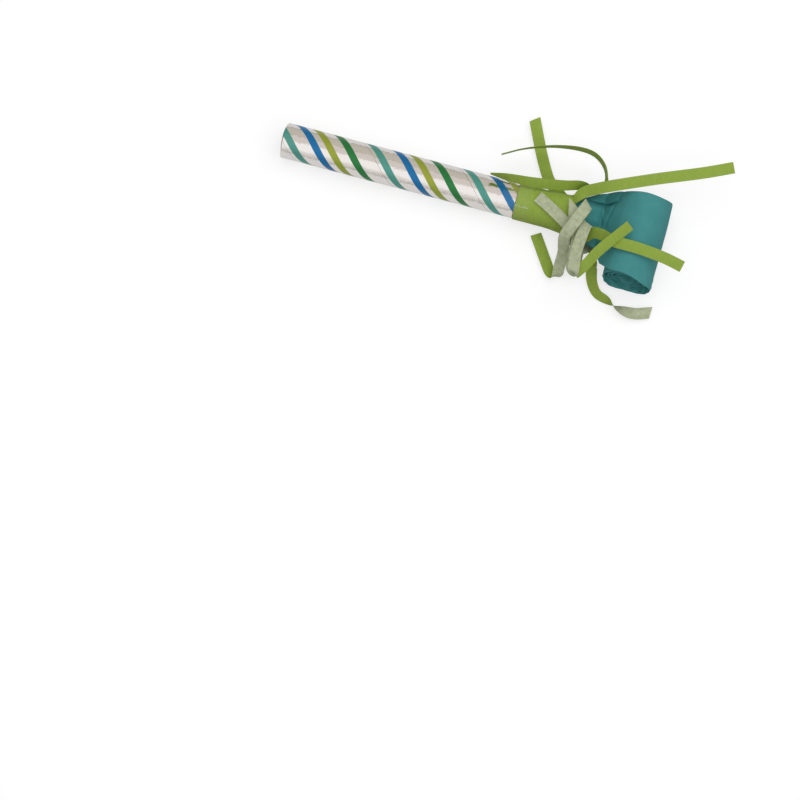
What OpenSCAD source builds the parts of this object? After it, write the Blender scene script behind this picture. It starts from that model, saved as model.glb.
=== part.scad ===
// Party blowout: a foil-covered card tube with a reed, a paper bladder rolled up by a coiled wire,
// and a slit paper fringe around the joint. The tube lies along X with its mouth at the origin.

/* [Tube] */
// Outer diameter of the foil-covered tube
tube_d = 13; // [11:0.5:15]
// Length of the card tube
tube_len = 98; // [85:1:115]
// Wall of the card tube
card_t = 0.6; // [0.4:0.1:0.9]
// Thickness of the printed foil paper
foil_t = 0.16; // [0.16:0.01:0.2]
// Length of the tube's end that the foil leaves bare
bare_len = 11.5; // [10:0.5:14]
// Room for glue between wrapped layers
glue = 0.03; // [0.02:0.01:0.05]

/* [Reed] */
// Distance from the mouth to the reed's tip
reed_x = 18; // [15:1:30]
// Length of the half-round reed channel
shallot_len = 18; // [14:1:22]
// Outer radius of the half-round channel
shallot_r = 3.4; // [3:0.1:3.8]
// Radius of the air channel
channel_r = 2.4; // [1.8:0.1:2.5]
// Length of the plug that holds the channel
plug_len = 6; // [5:0.5:9]
// Thickness of the tongue
tongue_t = 0.15; // [0.1:0.05:0.2]
// Width of the tongue
tongue_w = 5.2; // [5.1:0.1:5.6]
// Rest angle of the tongue above the channel's face
tongue_lift = 1.6; // [1.6:0.1:2]

/* [Bladder] */
// Length of the gathered neck past the tube's end
neck_len = 20; // [17:1:24]
// Thickness of the bladder paper
paper_t = 0.14; // [0.1:0.02:0.16]
// Height of the hollow inside the flat bladder
slit_t = 0.42; // [0.4:0.02:0.5]
// Width of the rolled bladder
roll_w = 33; // [28:1:38]
// Outer diameter of the roll
roll_d = 19.8; // [18.6:0.2:21.4]
// Distance between turns of the roll
pitch = 1.4; // [1.3:0.05:1.5]
// Angle at which the bladder rises from the neck to the top of the roll
rise = 51; // [47:1:55]
// How far the roll sits to one side of the tube's axis
roll_off = -4; // [-5:0.5:-3]
// Width of the bladder where it leaves the neck
hinge_w = 18; // [16:0.5:20]
// Gap left at each fold line
fold_gap = 0.08; // [0.06:0.02:0.12]
// Length of the closed fold at the bladder's tip
tip_fold = 2; // [1:0.5:3]

/* [Return spring] */
// Diameter of the coiled wire
wire_d = 0.22; // [0.16:0.02:0.24]
// Sideways place of the wire
wire_y = -2; // [-4:0.5:0]
// Length of wire that reaches into the neck
wire_root = 5; // [3:1:8]

/* [Fringe] */
// Thickness of the fringe paper
fringe_t = 0.12; // [0.08:0.02:0.16]
// Share of its slit width that a strip keeps
strip_share = 0.93; // [0.88:0.01:0.96]
// Half width of the collar where the slits start
flare_w = 8.6; // [8.5:0.1:9.4]
// Half height of the collar where the slits start
flare_h = 5; // [4.8:0.1:5.6]
// How much further back the slits start on the +Y side
slit_back = 7; // [5:0.5:8]
// Height of the loose strips above the roll
strip_air = 2; // [1.8:0.1:3]

/* [Tape] */
// Thickness of the clear film
film_t = 0.06; // [0.04:0.02:0.1]
// Length of film on the foil
film_foil = 5; // [3:0.5:8]
// Length of film on the fringe collar
film_collar = 5; // [3:0.5:8]

/* [Hidden] */
$fn = 96;
links = 24;
link_deg = 60;
strips = 10;
link_names = [for (i = [1:links - 1]) str("bladder_", i < 10 ? "0" : "", i)];

// Tube radii, from the outside in
foil_r = tube_d / 2;
core_r = foil_r - foil_t - glue;
bore_r = core_r - card_t;
foil_end = tube_len - bare_len;

// Flat bladder
flat_t = 2 * paper_t + slit_t;
hinge_x = tube_len + neck_len;
hinge_y = roll_off / 4;
neck_cols = 40;
neck_r = (core_r + glue) / cos(180 / neck_cols) + paper_t;

// Fringe collar and the film over it
fringe_cols = 2 * strips;
collar_r = (neck_r + glue) / cos(180 / fringe_cols) + fringe_t;
collar_x = foil_end + 0.3;
collar_end = tube_len + 0.73 * neck_len;
film_r = collar_r + glue + film_t;
rest_z = -film_r;

// Roll: arcs of falling radius, each joined to the next with a common tangent
mid_r = roll_d / 2 - flat_t / 2;
step_r = pitch * link_deg / 360;
function dir(a) = [cos(a), sin(a)];
function link_a(i) = 90 + rise - link_deg * i;
function link_r(i) = mid_r - step_r * i;
function sum_z(i) = i == 0 ? 0 : sum_z(i - 1) + step_r * sin(link_a(i));
low = floor((180 + rise) / link_deg);
centre_z = rest_z + link_r(low) + flat_t / 2 - sum_z(low);
panel_p = [hinge_x + flat_t / 2 * sin(rise), flat_t / 2 * (1 - cos(rise))];
panel_len = (centre_z - panel_p[1] + mid_r * cos(rise)) / sin(rise);
centre = panel_p + panel_len * dir(rise) + mid_r * [sin(rise), -cos(rise)];
function link_c(i) = i == 0 ? centre : link_c(i - 1) + step_r * dir(link_a(i));
function fold_at(i) = link_c(i) + (link_r(i) + flat_t / 2) * dir(link_a(i));
roll_top = centre_z + roll_d / 2;
roll_near = roll_off - roll_w / 2;

// Reed
plug_x = reed_x + shallot_len;
slot_h = 1.6;
tongue_z = 0.3;
tongue_x = plug_x + 1;

function unit(v) = v / norm(v);
function quad(a, b, c, d) = [[a, b, c], [a, c, d]];
function flat(v) = [for (a = v) for (b = a) b];

// Turns a shape made around Z so that it lies around X from a given x
module along_x(x) {
  translate([x, 0, 0])
  rotate([0, 90, 0])
  children();
}

module core_tube() {
  color([0.82, 0.78, 0.68])
  along_x(0)
  difference() {
    cylinder(r = core_r, h = tube_len);
    translate([0, 0, -1])
    cylinder(r = bore_r, h = tube_len + 2);
  }
}

module foil_wrap() {
  color([0.75, 0.74, 0.74])
  along_x(0)
  difference() {
    cylinder(r = foil_r, h = foil_end);
    translate([0, 0, -1])
    cylinder(r = foil_r - foil_t, h = foil_end + 2);
  }
}

// Plug with a half-round channel that points back to the mouth
module reed_holder() {
  color([0.9, 0.9, 0.86])
  difference() {
    union() {
      along_x(plug_x)
      cylinder(r = bore_r - glue, h = plug_len);
      difference() {
        along_x(reed_x)
        cylinder(r = shallot_r, h = shallot_len + 1);
        translate([reed_x - 1, -10, 0])
        cube([shallot_len + 1, 20, 20]);
      }
    }
    along_x(reed_x + 2)
    intersection() {
      cylinder(r = channel_r, h = shallot_len + plug_len);
      translate([0, -10, 0])
      cube([10, 20, shallot_len + plug_len]);
    }
    translate([plug_x - 1, -tongue_w / 2 - 0.1, 0])
    cube([plug_len - 1, tongue_w + 0.2, slot_h]);
  }
}

module reed_tongue() {
  color([0.86, 0.5, 0.2])
  translate([tongue_x, 0, tongue_z])
  rotate([0, tongue_lift, 0])
  translate([-shallot_len, -tongue_w / 2, -tongue_t / 2])
  cube([shallot_len + 1.5, tongue_w, tongue_t]);
}

module reed_wedge() {
  color([0.9, 0.9, 0.86])
  translate([plug_x + 0.2, -tongue_w / 2, tongue_z + 0.3])
  cube([plug_len - 2.5, tongue_w, slot_h - tongue_z - 0.3 - glue]);
}

// Half sizes and sideways place of the neck at x, from the round tube to the flat fold line
function neck_s(x) = max(0, min(1, (x - tube_len) / neck_len));
function neck_w(x) = neck_r + (hinge_w / 2 - neck_r) * pow(neck_s(x), 1.5);
function neck_h(x) = neck_r + (flat_t / 2 - neck_r) * pow(neck_s(x), 2.2);
function neck_y(x) = hinge_y * pow(neck_s(x), 2);
function ring(x, w, h, n) = [for (i = [0:n - 1])
  [x, neck_y(x) + w * cos(360 * i / n), h * sin(360 * i / n)]];

module bladder_neck() {
  xs = concat([tube_len - 10], [for (j = [0:8]) tube_len + neck_len * j / 8]);
  n = neck_cols;
  m = len(xs);
  outer = [for (x = xs) each ring(x, neck_w(x), neck_h(x), n)];
  inner = [for (x = xs) each ring(x, neck_w(x) - paper_t, neck_h(x) - paper_t, n)];
  sides = [for (j = [0:m - 2]) for (i = [0:n - 1]) let (
    a = j * n + i, b = j * n + (i + 1) % n, c = b + n, d = a + n, k = m * n)
    each concat(quad(a, d, c, b), quad(k + a, k + b, k + c, k + d))];
  ends = [for (i = [0:n - 1]) let (
    a = i, b = (i + 1) % n, e = (m - 1) * n, k = m * n)
    each concat(quad(a, b, k + b, k + a), quad(e + a, k + e + a, k + e + b, e + b))];
  color([0.27, 0.56, 0.56])
  polyhedron(concat(outer, inner), concat(sides, ends));
}

// Flat sleeve that widens from the neck to the roll
module bladder_panel() {
  y0 = hinge_y;
  y1 = roll_off;
  a = hinge_w / 2;
  b = roll_w / 2;
  e = 1.2;
  color([0.27, 0.56, 0.56])
  translate([panel_p[0], 0, panel_p[1]])
  rotate([0, -rise, 0])
  difference() {
    translate([0, 0, -flat_t / 2])
    linear_extrude(flat_t)
    polygon([[fold_gap, y0 - a], [panel_len, y1 - b], [panel_len, y1 + b], [fold_gap, y0 + a]]);
    translate([0, 0, -slit_t / 2])
    linear_extrude(slit_t)
    polygon([[0, y0 - a + e], [panel_len + 1, y1 - b + e], [panel_len + 1, y1 + b - e], [0, y0 + a - e]]);
  }
}

// One bent length of the flat sleeve, closed at its end if it is the tip
module bladder_link(i, closed) {
  r = link_r(i);
  gap = fold_gap / r * 180 / PI;
  short = closed ? tip_fold / r * 180 / PI : -1;
  color([0.27, 0.56, 0.56])
  translate([link_c(i)[0], roll_off, link_c(i)[1]])
  rotate([90, 0, 0])
  rotate([0, 0, link_a(i) - link_deg])
  difference() {
    rotate_extrude(angle = link_deg - gap)
    translate([r, 0])
    square([flat_t, roll_w], center = true);
    rotate([0, 0, short])
    rotate_extrude(angle = link_deg - short + 1)
    translate([r, 0])
    square([slit_t, roll_w - 2], center = true);
  }
}

// Wire through the middle of the sleeve: neck, panel, then 24 rings a turn around the roll
wire_turn = [for (i = [0:links - 1]) for (j = [0:3])
  link_c(i) + (link_r(i) + 0.04) * dir(link_a(i) - 15 * j)];
wire_arc = [for (q = [0:len(wire_turn) - 3]) wire_turn[q]];
wire_flat = [[hinge_x - wire_root, 0], [hinge_x - 0.6, 0]];
wire_rise = [for (s = [0.7, panel_len / 2]) panel_p + s * dir(rise)];
wire_path = concat(wire_flat, wire_rise, wire_arc);
wire_gap = min([for (q = [0:len(wire_arc) - 19]) min([for (p = [q + 18:len(wire_arc) - 1])
  norm(wire_arc[q] - wire_arc[p])])]) - wire_d;

module return_spring() {
  n = len(wire_path);
  rings = [for (q = [0:n - 1]) let (
    t = unit(wire_path[min(q + 1, n - 1)] - wire_path[max(q - 1, 0)]), p = wire_path[q])
    each [for (s = [0:5]) let (a = wire_d / 2 * cos(60 * s), b = wire_d / 2 * sin(60 * s))
      [p[0] - a * t[1], wire_y + b, p[1] + a * t[0]]]];
  sides = [for (q = [0:n - 2]) for (s = [0:5]) let (
    a = 6 * q + s, b = 6 * q + (s + 1) % 6)
    each quad(a, b, b + 6, a + 6)];
  first = [for (s = [1:4]) [0, s + 1, s]];
  last = [for (s = [1:4]) [6 * n - 6, 6 * n - 6 + s, 6 * n - 5 + s]];
  color([0.7, 0.7, 0.72])
  polyhedron(rings, concat(sides, first, last));
}

// Half sizes of the fringe collar at x, from the round tube to the oval where the slits start
function collar_s(x) = max(0, min(1, (x - tube_len) / (collar_end - tube_len)));
function collar_w(x) = collar_r + (flare_w - collar_r) * pow(collar_s(x), 1.5);
function collar_h(x) = collar_r + (flare_h - collar_r) * pow(collar_s(x), 2);
function slit_x(q) = collar_end - slit_back * (1 + cos(q)) / 2;
collar_steps = 4;
function ring_x(j, q) = j == 0 ? collar_x : tube_len + (slit_x(q) - tube_len) * (j - 1) / collar_steps;
function collar_ring(j, inset) = [for (i = [0:fringe_cols - 1])
  let (q = 360 * i / fringe_cols, x = ring_x(j, q))
  [x, neck_y(x) + (collar_w(x) - inset) * cos(q), (collar_h(x) - inset) * sin(q)]];

// Heights and places that the loose strips keep clear of
over = roll_top + strip_air;
near = roll_near - strip_air;
floor_z = rest_z + 0.5;

// Strips in order around the collar from the +Y side over the top: the points that each one passes,
// along X from the slits' start, and the turn of its width at each point in degrees
strip_paths = [
  [[-2, 9.4, 3.6, -10], [3, 12.4, 3.8, -14], [3.4, 16, 3.6, 8], [1.4, 20.4, 3, 14], [-3, 23.6, 2.8, 16],
    [-9.4, 24.2, 2.6, 20], [-18.6, 22.6, 2.4, 28], [-28, 19.2, 2.2, 33], [-35.6, 15, 2, 34]],
  [[-3, 8, 5.8, -49], [2.2, 10.2, over - 5.2, -51], [9, 12.6, over - 2.2, -54],
    [21.6, 17.8, over - 0.6, -54], [36.4, 24.2, over - 1.2, -54], [47, 29.6, over - 2.6, -53]],
  [[-1.2, 0.6, 6, 0], [-0.2, 3.6, 8.6, 10], [-1, 0.6, 11.2, -10], [-3.4, -5.4, 11.6, -11],
    [-5.4, -10, 8.8, -6], [-5.2, -12.4, 5.4, 8], [-4.6, -14.8, 2.2, 4], [-4.8, -18.8, -1.8, -4],
    [-4.8, -21.2, -3.6, 16], [-5.8, near, floor_z + 1.4, 60], [-7.6, near + 1.2, floor_z + 1.2, 96],
    [-10.2, -17.6, floor_z + 1.2, 109], [-13.6, -12.6, floor_z + 1.2, 108],
    [-16.2, -8.8, floor_z + 1.2, 108]],
  [[0, -5.4, 4.6, 0], [1.8, -4, 7.4, -20], [1, -5.6, over - 5.2, -35], [0.4, -10.4, over - 3.2, -35],
    [0.6, -16.6, over - 0.4, -38], [1.4, near + 0.2, over + 2.6, -40], [1.8, near - 1.8, over + 2.2, -56],
    [2.2, near - 1.4, over, -93], [4.8, -19.2, over - 1.4, -113], [8.2, -13.4, over + 0.6, -114],
    [16.4, -2.4, over + 2.6, -114]],
  [[2.6, -8.2, 3.2, 30], [5.2, -7.2, 6.2, 49], [8.2, -7.2, over - 4.6, 52], [12.2, -8.6, over - 1.2, 57],
    [21.6, -9.2, over + 0.2, 56], [31, -9.8, over - 1.2, 56], [38.2, -10.8, over - 3.2, 55]],
  [[1.6, -9.8, -1.8, -15], [1.6, -11.6, 0.6, -20], [-1, -11.2, 3.8, 70], [-3.8, -7, 5.6, 80],
    [-7, -4.6, 6.8, 78], [-12.8, -1.4, 7.8, 78], [-18.6, 1.6, 7.8, 78]],
  [[0, -7.6, -4, -5], [0.6, -15, -4.4, 0], [0.4, -20.4, -3.6, 0], [-0.6, -19.2, 0.8, 142],
    [-0.8, -16.4, 3.4, 129], [-0.6, -12.2, 6.2, 130], [-1, -8.2, 7, 133], [-2.8, -4.8, 7.4, 135],
    [-4.2, -1.6, 8.6, 136], [-5, 2, 9.2, 135]],
  [[-0.6, -2.4, floor_z + 0.8, 5], [3.8, -8.4, floor_z + 0.4, 10], [6.8, -13.6, floor_z + 1.4, 50],
    [6.6, -16, -4, 172], [8, -20.8, -4.4, 161], [10.8, near - 2, -4.6, 146],
    [15.2, near - 3.6, -4.6, 129], [19.8, near - 5.4, -4.4, 60], [25.4, near - 5.8, -4.4, 7],
    [31.4, near - 3.8, floor_z + 1.4, -2]],
  [[-3.6, 4.4, floor_z + 1.4, 0], [-4.6, 5.2, floor_z + 0.4, -32], [-9.6, 6.8, floor_z + 0.4, -33],
    [-13.4, 9.4, floor_z + 0.6, -34], [-16.8, 12.2, floor_z + 1.2, -36],
    [-20.8, 18.8, floor_z + 1.6, -37], [-24.2, 25.6, floor_z + 1.8, -38], [-27.6, 32.8, -4.4, -38]],
  [[-3.8, 8.6, -2.6, -10], [-2.2, 10.4, -2.2, -30], [-2.6, 11.2, 0, -127], [-5.2, 11.2, 2.6, -147],
    [-10.2, 9.6, 4.8, -155], [-15.6, 8, 7, -155], [-22.8, 6.4, 8.6, -150], [-31.2, 5.6, 9.2, -140],
    [-37.2, 5, 9.4, -126]]
];
strip_rows = 24;
strip_w = strip_share * 2 * PI * (flare_w + flare_h) / 2 / strips;

// Point at u spans along the smooth curve through p
function curve(p, u) = let (
  n = len(p) - 1, i = min(floor(u), n - 1), t = u - i,
  b = p[i], c = p[i + 1],
  a = i > 0 ? p[i - 1] : 2 * b - c,
  d = i + 2 <= n ? p[i + 2] : 2 * c - b)
  b + t / 2 * (c - a) + t * t * (a - 2.5 * b + 2 * c - d / 2) + t * t * t * (1.5 * b - 1.5 * c + (d - a) / 2);

// Width directions carried along the tangents t without turning about them
function carry(w, t) = [for (j = 0, v = unit(w - (w * t[0]) * t[0]); j < len(t);
  j = j + 1, v = j < len(t) ? unit(v - (v * t[j]) * t[j]) : v) v];

// Outer and inner points of a strip's rows past its root
function strip_points(k, face) = let (
  q = (2 * k + 1) * 360 / fringe_cols, n = strip_rows,
  x0 = slit_x(q), y0 = neck_y(x0), w = collar_w(x0) - fringe_t / 2, h = collar_h(x0) - fringe_t / 2,
  root = [x0, y0 + w * cos(q), h * sin(q), 0],
  p = concat([root], [for (v = strip_paths[k]) [collar_end + v[0], v[1], v[2], v[3]]]),
  f = [for (j = [0:n]) curve(p, (len(p) - 1) * j / n)],
  c = [for (v = f) [v[0], v[1], v[2]]],
  t = [for (j = [0:n]) unit(j == 0 ? [1, 0, 0] : c[min(j + 1, n)] - c[j - 1])],
  ws = carry([0, -w * sin(q), h * cos(q)], t))
  [for (j = [1:n]) let (
    a = f[j][3], v = cos(a) * ws[j] + sin(a) * cross(ws[j], t[j]), o = cross(v, t[j]))
    each [for (i = [-1:1]) c[j] + strip_w / 2 * i * v + face * fringe_t / 2 * o]];

module fringe() {
  n = fringe_cols;
  m = collar_steps + 2;
  r = strip_rows;
  outer = [for (j = [0:m - 1]) each collar_ring(j, 0)];
  inner = [for (j = [0:m - 1]) each collar_ring(j, fringe_t)];
  so = [for (k = [0:strips - 1]) each strip_points(k, 1)];
  si = [for (k = [0:strips - 1]) each strip_points(k, -1)];
  function co(j, i) = j * n + i % n;
  function ci(j, i) = m * n + co(j, i);
  function vo(k, j, i) = j == 0 ? co(m - 1, 2 * k + i) : 2 * m * n + (k * r + j - 1) * 3 + i;
  function vi(k, j, i) = j == 0 ? ci(m - 1, 2 * k + i) : vo(k, j, i) + strips * r * 3;
  collar = [for (j = [0:m - 2]) for (i = [0:n - 1]) each concat(
    quad(co(j, i), co(j + 1, i), co(j + 1, i + 1), co(j, i + 1)),
    quad(ci(j, i), ci(j, i + 1), ci(j + 1, i + 1), ci(j + 1, i)))];
  edge = [for (i = [0:n - 1]) each quad(co(0, i), co(0, i + 1), ci(0, i + 1), ci(0, i))];
  faces = [for (k = [0:strips - 1]) for (j = [0:r - 1]) each concat(
    flat([for (i = [0:1]) concat(
      quad(vo(k, j, i), vo(k, j + 1, i), vo(k, j + 1, i + 1), vo(k, j, i + 1)),
      quad(vi(k, j, i), vi(k, j, i + 1), vi(k, j + 1, i + 1), vi(k, j + 1, i)))]),
    quad(vo(k, j, 0), vi(k, j, 0), vi(k, j + 1, 0), vo(k, j + 1, 0)),
    quad(vo(k, j, 2), vo(k, j + 1, 2), vi(k, j + 1, 2), vi(k, j, 2)))];
  tips = [for (k = [0:strips - 1]) for (i = [0:1]) each
    quad(vo(k, r, i), vi(k, r, i), vi(k, r, i + 1), vo(k, r, i + 1))];
  color([0.56, 0.68, 0.25])
  polyhedron(concat(outer, inner, so, si), concat(collar, edge, faces, tips));
}

// Film that steps from the foil up onto the fringe collar
module tape_band() {
  r0 = foil_r + glue;
  r1 = collar_r + glue;
  x0 = foil_end - film_foil;
  x1 = foil_end;
  x2 = collar_x;
  x3 = collar_x + film_collar;
  color([0.9, 0.92, 0.92, 0.4])
  along_x(0)
  rotate_extrude()
  polygon([[r0, x0], [r0 + film_t, x0], [r0 + film_t, x1 - 0.1], [r1 + film_t, x2 - 0.1],
    [r1 + film_t, x3], [r1, x3], [r1, x2 - 0.05], [r0, x1 - 0.05]]);
}

core_tube();
foil_wrap();
reed_holder();
reed_tongue();
reed_wedge();
bladder_neck();
bladder_panel();
for (i = [0:links - 2]) {
  bladder_link(i, false);
}
bladder_link(links - 1, true);  // bladder_tip
return_spring();
fringe();
tape_band();

echo(wire_self_gap = wire_gap);
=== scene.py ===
import bpy
import numpy as np
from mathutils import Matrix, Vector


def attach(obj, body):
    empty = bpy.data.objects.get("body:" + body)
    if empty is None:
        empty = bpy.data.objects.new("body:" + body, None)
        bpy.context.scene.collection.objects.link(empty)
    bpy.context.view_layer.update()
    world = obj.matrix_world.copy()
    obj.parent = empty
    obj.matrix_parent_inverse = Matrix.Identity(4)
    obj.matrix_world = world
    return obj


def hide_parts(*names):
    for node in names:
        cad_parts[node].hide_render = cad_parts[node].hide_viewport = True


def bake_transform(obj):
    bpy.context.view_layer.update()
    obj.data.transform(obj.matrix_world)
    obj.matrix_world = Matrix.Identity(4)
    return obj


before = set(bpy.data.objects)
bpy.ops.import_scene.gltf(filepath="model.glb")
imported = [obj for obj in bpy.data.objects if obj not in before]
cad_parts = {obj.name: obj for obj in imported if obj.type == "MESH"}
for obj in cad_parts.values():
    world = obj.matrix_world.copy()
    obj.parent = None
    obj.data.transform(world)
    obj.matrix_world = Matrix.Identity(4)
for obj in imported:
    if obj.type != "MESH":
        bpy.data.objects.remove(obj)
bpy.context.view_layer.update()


# Card tube
# A thin tube of grey-brown card, wound from a strip and glued, is both mouthpiece and grip.
# Only its rim, its bore and the end inside the bladder can be seen, so the node stays as it is.

def linear(code):
    """Linear colour of an sRGB hex code: each channel over 255, with the standard curve undone."""
    c = np.array([int(code[i:i + 2], 16) for i in (1, 3, 5)]) / 255
    c = np.where(c <= 0.04045, c / 12.92, ((c + 0.055) / 1.055) ** 2.4)
    return (*c, 1.0)


def node(tree, kind, sockets={}, **settings):
    """Adds a node, gives it its settings, and fills its sockets: an output is linked, a value is set."""
    made = tree.nodes.new("ShaderNode" + kind)
    for name, value in settings.items():
        setattr(made, name, value)
    for name, value in sockets.items():
        if isinstance(value, bpy.types.NodeSocket):
            tree.links.new(value, made.inputs[name])
        else:
            made.inputs[name].default_value = value
    return made


def finish_named(name):
    """An empty material with its node tree and its Principled shader."""
    made = bpy.data.materials.new(name)
    made.use_nodes = True
    return made, made.node_tree, made.node_tree.nodes["Principled BSDF"]


# Chipboard card: long and short fibres pressed flat, so a matte face with pale and dark flecks
card, tree, shader = finish_named("grey_chipboard_card")
place = node(tree, "TexCoord").outputs["Object"]
fibre = node(tree, "TexNoise", {"Vector": place, "Scale": 1 / 0.0006, "Detail": 6.0, "Roughness": 0.6})
fleck = node(tree, "Mix", {0: fibre.outputs["Fac"], 6: linear("#8d7f69"), 7: linear("#cdc1a9")}, data_type="RGBA")
pressed = node(tree, "Bump", {"Height": fibre.outputs["Fac"], "Strength": 0.5, "Distance": 0.00006})
tree.links.new(fleck.outputs[2], shader.inputs["Base Color"])
tree.links.new(pressed.outputs["Normal"], shader.inputs["Normal"])
shader.inputs["Roughness"].default_value = 0.85
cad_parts["core_tube"].material_slots[0].material = card


# Reed
# A moulded plug with a half-round channel, a thin tongue that buzzes on it, and the block that clamps it.
# They are pushed into the tube's bore as one unit and seen only through the mouth.

# Polystyrene, injection moulded: an even off-white with a faint flow mottle and a soft shine
reed_plastic, tree, shader = finish_named("moulded_polystyrene")
place = node(tree, "TexCoord").outputs["Object"]
flow = node(tree, "TexNoise", {"Vector": place, "Scale": 1 / 0.003, "Detail": 3.0})
tone = node(tree, "Mix", {0: flow.outputs["Fac"], 6: linear("#d9d7cb"), 7: linear("#efede4")}, data_type="RGBA")
skin_grain = node(tree, "TexNoise", {"Vector": place, "Scale": 1 / 0.0003, "Detail": 2.0})
moulded = node(tree, "Bump", {"Height": skin_grain.outputs["Fac"], "Strength": 0.3, "Distance": 0.00002})
tree.links.new(tone.outputs[2], shader.inputs["Base Color"])
tree.links.new(moulded.outputs["Normal"], shader.inputs["Normal"])
shader.inputs["Roughness"].default_value = 0.38
for name in ("reed_holder", "reed_wedge"):
    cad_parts[name].material_slots[0].material = reed_plastic

# Polyester film, slit from a sheet: amber, glossy, with fine draw lines along its length
reed_film, tree, shader = finish_named("amber_polyester_film")
place = node(tree, "TexCoord").outputs["Object"]
drawn = node(tree, "Mapping", {"Vector": place, "Scale": (60.0, 4000.0, 4000.0)})
line = node(tree, "TexNoise", {"Vector": drawn.outputs["Vector"], "Scale": 1.0, "Detail": 2.0})
tone = node(tree, "Mix", {0: line.outputs["Fac"], 6: linear("#b4691f"), 7: linear("#d98a3a")}, data_type="RGBA")
tree.links.new(tone.outputs[2], shader.inputs["Base Color"])
shader.inputs["Roughness"].default_value = 0.22
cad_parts["reed_tongue"].material_slots[0].material = reed_film


# Foil wrap
# Silver foil paper printed with four slanting stripes, wound around the card and glued.
# The paper is a little lumpy under the foil, and its edge laps over itself along one slanting line.

FOIL_R, FOIL_T, FOIL_L = 6.5, 0.16, 86.5
FOIL_ROWS, FOIL_COLS, FOIL_WAVE = 217, 144, 0.012
LIP_L, LIP_DEPTH, LIP_REACH, LIP_FADE = 0.45, 0.35, 0.6, 6.0
# One turn of the stripes and their width along the tube, and the degrees around it where the print starts
STRIPE_TURN, STRIPE_W, STRIPE_START = 36.1, 3.36, 104.5
SEAM_AT, SEAM_W = 34.7, 0.25
# Where each stripe's middle lies along the tube, and its ink
STRIPES = (
    (2.1, "#4f9a8c"),
    (11.8, "#006ea8"),
    (17.9, "#9aa536"),
    (25.9, "#1f7a3a"),
)


def quads(rows, cols, wrap_rows=False, wrap_cols=False):
    """Corners of the faces between neighbours on a grid of points, which may close on itself either way."""
    i, j = np.meshgrid(np.arange(rows - (not wrap_rows)), np.arange(cols - (not wrap_cols)), indexing="ij")
    k, l = (i + 1) % rows, (j + 1) % cols
    return np.stack([i * cols + j, i * cols + l, k * cols + l, k * cols + j], -1).reshape(-1, 4)


def piece(name, points, faces, finishes, finish_of=0, lay=None):
    """A smooth mesh of points in millimetres. Faces that enclose a negative volume are turned round.
    lay is each point's place on the flat sheet in metres, kept as an attribute for patterns."""
    points = np.asarray(points, float).reshape(-1, 3)
    p = [points[faces[:, i]] for i in range(4)]
    volume = (p[0] * np.cross(p[1], p[2]) + p[0] * np.cross(p[2], p[3])).sum()
    faces = faces[:, ::-1] if volume < 0 else faces
    mesh = bpy.data.meshes.new(name)
    mesh.from_pydata(points / 1000, [], faces)
    mesh.polygons.foreach_set("use_smooth", np.ones(len(faces), bool))
    mesh.polygons.foreach_set("material_index", np.broadcast_to(finish_of, len(faces)).astype(np.int32))
    for finish in finishes:
        mesh.materials.append(finish)
    if lay is not None:
        flat = mesh.attributes.new("lay", "FLOAT_VECTOR", "POINT")
        flat.data.foreach_set("vector", np.asarray(lay, np.float32).ravel())
    mesh.set_sharp_from_angle(angle=np.radians(50))
    mesh.update()
    made = bpy.data.objects.new(name, mesh)
    bpy.context.scene.collection.objects.link(made)
    return made


def foil_points():
    """Rings of a tube along X: outside to the far end, then back along the inside, so it closes on itself.
    The outside radius dips in slow waves around and along the tube. Past the card's rim the paper rounds over
    inwards, and on the top it reaches a little further, as its edge was cut by hand."""
    front = -LIP_L * np.array([1, 0.97, 0.88, 0.7, 0.4])
    x = np.concatenate([front, np.linspace(0, FOIL_L, FOIL_ROWS), [FOIL_L, 0, -0.85 * LIP_L]])[:, None]
    turn = np.linspace(0, 2 * np.pi, FOIL_COLS, endpoint=False)[None, :]
    wave = np.sin(3 * turn + x / 7) + np.sin(5 * turn - x / 11 + 1) + np.sin(2 * turn + x / 3.1 + 2)
    wave = wave + 0.6 * np.sin(9 * turn + x / 1.9) + 0.5 * np.sin(7 * turn - x / 1.3 + 3)
    lip = 1 - np.sqrt(1 - np.clip(-x / LIP_L, 0, 1) ** 2)
    outside = np.arange(len(x))[:, None] < len(front) + FOIL_ROWS
    r = np.where(outside, FOIL_R - 0.05 + FOIL_WAVE * wave - LIP_DEPTH * lip, FOIL_R - FOIL_T - 0.5 * lip)
    x = x - LIP_REACH * np.clip(np.sin(turn), 0, 1) ** 2 * np.clip(1 - x / LIP_FADE, 0, 1) ** 2
    return np.stack([x, r * np.cos(turn), r * np.sin(turn)], -1)


# Foil paper, hot stamped: a mirror with fine creases across the tube, and see-through inks that tint it
foil, tree, shader = finish_named("printed_silver_foil_paper")
place = node(tree, "TexCoord").outputs["Object"]
axes = node(tree, "SeparateXYZ", {"Vector": place})
turn = node(tree, "Math", {0: axes.outputs["Z"], 1: axes.outputs["Y"]}, operation="ARCTAN2")
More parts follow.
